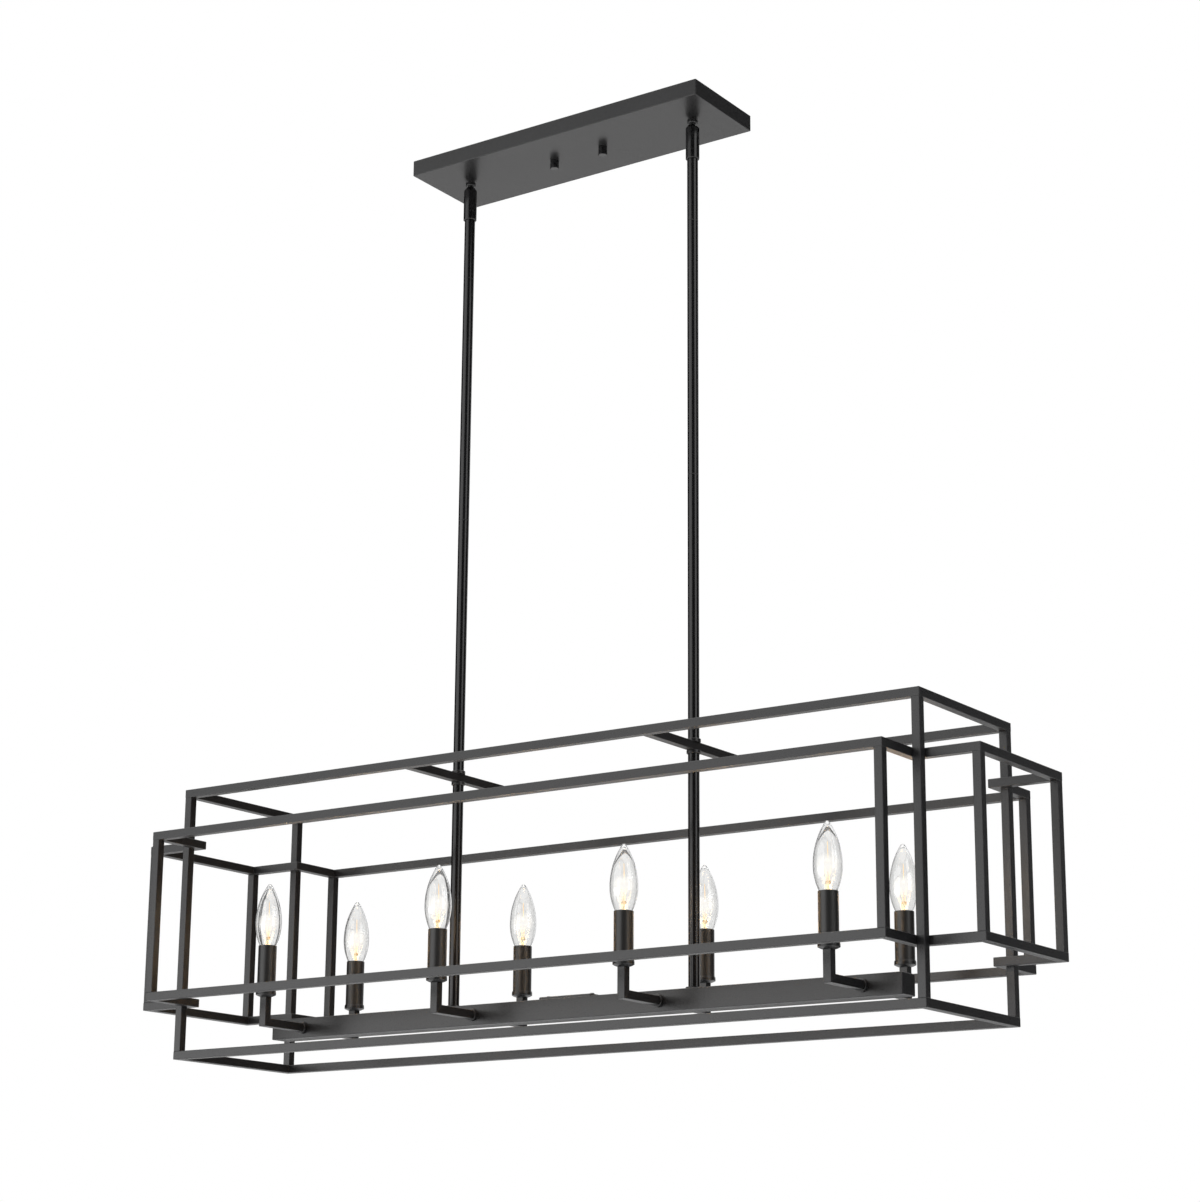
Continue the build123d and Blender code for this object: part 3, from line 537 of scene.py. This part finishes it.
def bulb_glass_mesh():
    """Blown glass with a real wall, thicker where its tip was sealed."""
    outside = bulb_half(0.0)
    ceiling = TIP - SEALED_TIP
    inside = []
    for radius, height in bulb_half(GLASS_WALL):
        rise = max((height - WIDEST) / (ceiling - WIDEST), 0.0)
        radius -= (TIP_WALL - GLASS_WALL) * rise**3
        if rise < 1.0 and radius > GLASS_WALL:
            inside.append((radius, height))
    inside.append((0.0, ceiling))
    return turned("bulb_glass_mesh", outside + inside[::-1], LOOKS["clear_glass"], ROUND_STEPS)


def bulb_stem_mesh():
    """Flare that closes the neck, exhaust tube and flattened press."""
    flare = BULB_NECK_RADIUS - GLASS_WALL
    profile = [
        (0.0, SEAT),
        (flare, SEAT),
        (flare, SEAT + FLARE_RIM),
        (FLARE_WAIST_RADIUS, SEAT + FLARE_WAIST),
        (STEM_RADIUS, SEAT + FLARE_TOP),
        (STEM_RADIUS * TUBE_MIDDLE_SHARE, SEAT + TUBE_MIDDLE),
        (STEM_RADIUS, STEM_HEAD - PRESS_DEPTH),
        (STEM_RADIUS, STEM_HEAD - HEAD_DEPTH),
        (STEM_RADIUS * HEAD_SHARE, STEM_HEAD),
        (0.0, STEM_HEAD),
    ]
    data = turned("bulb_stem_mesh", profile, LOOKS["stem_glass"], STEM_STEPS)
    for vertex in data.vertices:
        press = min(max((vertex.co.z - (STEM_HEAD - PRESS_START)) / PRESS_RUN, 0.0), 1.0)
        vertex.co.x *= 1.0 + press * PRESS_WIDENS
        vertex.co.y *= 1.0 - press * PRESS_THINS
    return data


def filament_points():
    """Corners of the filament's run, from one lead over the top to the other."""
    knee = STEM_HEAD + FILAMENT_KNEE
    top = STEM_HEAD + FILAMENT_RISE
    return [
        Vector((-FILAMENT_HALF_WIDTH, 0.0, knee)),
        Vector((0.0, 0.0, top - COIL_RADIUS)),
        Vector((FILAMENT_HALF_WIDTH, 0.0, knee)),
    ]


def coil(start, end):
    """Helix points of the filament's wire, round the line from start to end."""
    along = (end - start).normalized()
    side = Vector((0.0, 1.0, 0.0))
    other = along.cross(side)
    turns = (end - start).length / COIL_PITCH
    count = int(turns * COIL_STEPS)
    points = []
    for step in range(count + 1):
        angle = math.tau * turns * step / count
        outward = math.cos(angle) * side + math.sin(angle) * other
        points.append(start.lerp(end, step / count) + COIL_RADIUS * outward)
    return points


def filament_mesh():
    """Coiled tungsten between the leads."""
    left, top, right = filament_points()
    return wires("filament_mesh", [coil(left, top), coil(top, right)], COIL_WIRE, LOOKS["filament"], COIL_SIDES)


def leads_mesh():
    """Two leads up to the filament's ends and a support to its top."""
    left, top, right = filament_points()
    runs = []
    for side, end in ((-1, left), (1, right)):
        foot = Vector((side * LEAD_HALF_SPACING, 0.0, STEM_HEAD - LEAD_SUNK))
        bend = Vector((side * LEAD_HALF_SPACING, 0.0, STEM_HEAD + LEAD_BEND))
        runs.append([foot, bend, end])
    foot = Vector((0.0, 0.0, STEM_HEAD - LEAD_SUNK))
    head = Vector((0.0, 0.0, STEM_HEAD + SUPPORT_RISE))
    runs.append([foot, top + Vector((0.0, 2 * COIL_RADIUS, 0.0)), head])
    return wires("leads_mesh", runs, LEAD_RADIUS, PAINTED_GLOW_WIRE, LEAD_SIDES)


def glow_mesh():
    """Spindles of light, one inside the other, about the widest part of the glass."""
    mesh = bmesh.new()
    for share in GLOW_SHELLS:
        profile = []
        for step in range(GLOW_RISE_STEPS + 1):
            turn = math.pi * step / GLOW_RISE_STEPS
            rise = share * GLOW_HALF_HEIGHT * math.cos(turn)
            profile.append((share * GLOW_RADIUS * math.sin(turn), WIDEST + GLOW_ABOVE_WIDEST - rise))
        add_turned(mesh, profile, GLOW_STEPS)
    return finished("glow_mesh", mesh, GLOW)


def lamp_places():
    """Middle of each lamp, read from the upright leg of its arm."""
    places = []
    for side, outer in (("front", 0), ("back", 1)):
        for number in range(1, LAMPS_A_SIDE + 1):
            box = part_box(f"arm_{side}_{number}")
            x = (box[0].x + box[1].x) / 2
            y = box[outer].y + (BAR / 2 if outer == 0 else -BAR / 2)
            places.append((f"{side}_{number}", Vector((x, y, 0.0))))
    return places


def add_piece(name, data, place, replaced=()):
    """A piece of the hanging fixture that shares its mesh with its repeats."""
    piece = placed(name, data, place)
    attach(piece, "fixture")
    if replaced:
        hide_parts(*replaced)
    return piece


def add_lamp(label, shell):
    """The light of one bulb, carried by its glass."""
    lamp = bpy.data.lights.new(f"lamp_{label}", "POINT")
    lamp.energy = LAMP_WATTS
    lamp.color = LAMP_COLOUR
    lamp.shadow_soft_size = LAMP_RADIUS
    holder = placed(f"lamp_{label}", lamp, (0.0, 0.0, WIDEST))
    holder.parent = shell
    holder.visible_camera = False
    holder.visible_transmission = False


def add_bulbs():
    glass = bulb_glass_mesh()
    stem = bulb_stem_mesh()
    filament = filament_mesh()
    leads = leads_mesh()
    light_spindle = glow_mesh()
    for label, place in lamp_places():
        shell = add_piece(f"glass_{label}", glass, place, ("bulb_glass",))
        shell.visible_shadow = False
        press = add_piece(f"stem_{label}", stem, place, ("bulb_stems",))
        press.visible_shadow = False
        add_piece(f"filament_{label}", filament, place, ("bulb_filaments",))
        add_piece(f"leads_{label}", leads, place)
        spindle = add_piece(f"glow_{label}", light_spindle, place)
        spindle.visible_shadow = False
        add_lamp(label, shell)


# ---------------------------------------------------------------- stage, lights and camera


def add_floor():
    mesh = bmesh.new()
    bmesh.ops.create_grid(mesh, x_segments=1, y_segments=1, size=FLOOR_HALF)
    look = Look("pale_floor")
    tone = look.noise(FLOOR_DRIFT)
    colour = look.two_tone(tone, (0.80, 0.80, 0.80), (0.84, 0.84, 0.84))
    look.principled(colour, look.span(tone, 0.6, 0.7))
    floor = placed("floor", finished("floor", mesh, look.material), (0.0, 0.0, FLOOR_HEIGHT))


def add_softbox(name, azimuth, height, distance, wide, tall, watts):
    """A soft area light that faces the fixture."""
    turn = math.radians(azimuth)
    light = bpy.data.lights.new(name, "AREA")
    light.shape = "RECTANGLE"
    light.size = wide
    light.size_y = tall
    light.energy = watts
    holder = placed(name, light, (distance * math.cos(turn), distance * math.sin(turn), height))
    holder.rotation_euler = (SOFTBOX_AIM - holder.location).to_track_quat("-Z", "Y").to_euler()
    holder.visible_camera = False


def add_world():
    """White to the camera and through glass; on the object, light from above over a dim horizon."""
    world = bpy.data.worlds.new("studio")
    bpy.context.scene.world = world
    world.use_nodes = True
    nodes = world.node_tree.nodes
    join = world.node_tree.links.new
    nodes.clear()
    rays = nodes.new("ShaderNodeLightPath")
    seen = nodes.new("ShaderNodeMath")
    seen.operation = "MAXIMUM"
    join(rays.outputs["Is Camera Ray"], seen.inputs[0])
    join(rays.outputs["Is Transmission Ray"], seen.inputs[1])
    place = nodes.new("ShaderNodeTexCoord")
    axes = nodes.new("ShaderNodeSeparateXYZ")
    join(place.outputs["Generated"], axes.inputs["Vector"])
    height = nodes.new("ShaderNodeMapRange")
    height.inputs["From Min"].default_value = -1.0
    join(axes.outputs["Z"], height.inputs["Value"])
    bands = nodes.new("ShaderNodeValToRGB")
    fill_ramp(bands, [((sine + 1.0) / 2.0, (level, level, level)) for sine, level in WORLD_BANDS])
    join(height.outputs["Result"], bands.inputs["Fac"])
    studio = nodes.new("ShaderNodeBackground")
    join(bands.outputs["Color"], studio.inputs["Color"])
    white = nodes.new("ShaderNodeBackground")
    white.inputs["Color"].default_value = (1.0, 1.0, 1.0, 1.0)
    mix = nodes.new("ShaderNodeMixShader")
    out = nodes.new("ShaderNodeOutputWorld")
    join(seen.outputs["Value"], mix.inputs[0])
    join(studio.outputs["Background"], mix.inputs[1])
    join(white.outputs["Background"], mix.inputs[2])
    join(mix.outputs["Shader"], out.inputs["Surface"])


def add_camera():
    data = bpy.data.cameras.new("photo_camera")
    data.sensor_width = SENSOR_MM
    data.lens = LENS_MM
    data.clip_end = CAMERA_REACH
    camera = placed("photo_camera", data)
    up = CAMERA_RIGHT.cross(CAMERA_FORWARD)
    turn = Matrix((CAMERA_RIGHT, up, -CAMERA_FORWARD)).transposed().to_4x4()
    camera.matrix_world = Matrix.Translation(CAMERA_PLACE) @ turn
    bpy.context.scene.camera = camera


dress_cad_nodes()
add_bulbs()
add_floor()
add_world()
for softbox in SOFTBOXES:
    add_softbox(*softbox)
add_camera()
bpy.context.scene.view_settings.view_transform = "Standard"
